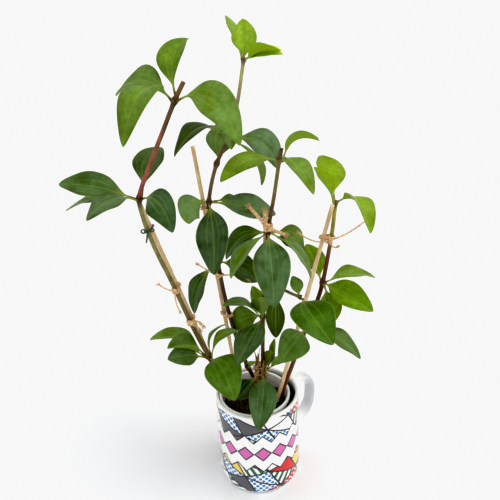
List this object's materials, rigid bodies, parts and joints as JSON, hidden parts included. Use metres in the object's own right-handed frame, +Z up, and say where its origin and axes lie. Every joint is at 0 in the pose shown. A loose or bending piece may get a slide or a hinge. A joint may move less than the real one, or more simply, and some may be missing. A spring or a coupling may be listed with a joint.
{
  "type": "potted peperomia in a mug",
  "caption": "Bushy upright houseplant with whorled oval leaves, tied to split bamboo stakes, in a nursery pot set in a handled mug",
  "frame": {"origin": "centre of the bounding box at the height of the table", "axes": "+Z up along the plant, -Y towards the viewer of the picture, +X to the viewer's right"},
  "size_m": [0.2676, 0.1244, 0.4351],
  "materials": {
    "mug_glaze": "glossy white glaze with a printed colour pattern",
    "pot_plastic": "satin white moulded plastic",
    "potting_soil": "dark crumbly potting mix",
    "leaf": "fleshy, satin to glossy dark green with pale veins",
    "leaf_young": "fleshy, satin yellow-green",
    "stem": "smooth, brown with green and red stretches",
    "bamboo": "split, light tan",
    "twine": "fibrous jute",
    "wire_coating": "dark green coated wire"
  },
  "bodies": {
    "root": {"mug": "mug_glaze", "nursery_pot": "pot_plastic", "soil": "potting_soil", "stem_left": "stem", "stem_middle": "stem", "stem_centre": "stem", "stem_right": "stem", "stake_left": "bamboo", "stake_middle": "bamboo", "stake_centre": "bamboo", "stake_right": "bamboo", "leaves_left_low": "leaf", "leaves_left_middle": "leaf", "leaves_left_top": "leaf", "leaves_middle_base": "leaf", "leaves_middle_low": "leaf", "leaves_middle": "leaf", "leaves_middle_single": "leaf", "leaves_middle_high": "leaf", "leaves_middle_top": "leaf_young", "leaves_centre_base": "leaf", "leaves_centre_low": "leaf", "leaves_centre_high": "leaf", "leaves_centre_top": "leaf", "leaf_twig": "leaf", "leaves_twig_end": "leaf", "leaves_right_low": "leaf", "leaves_right": "leaf", "leaves_right_top": "leaf_young", "wire_tie_left": "wire_coating", "twine_left_middle": "twine", "twine_left_low": "twine", "twine_middle_high": "twine", "twine_middle": "twine", "twine_middle_low": "twine", "twine_centre": "twine", "twine_right": "twine"}
  },
  "joints": []
}
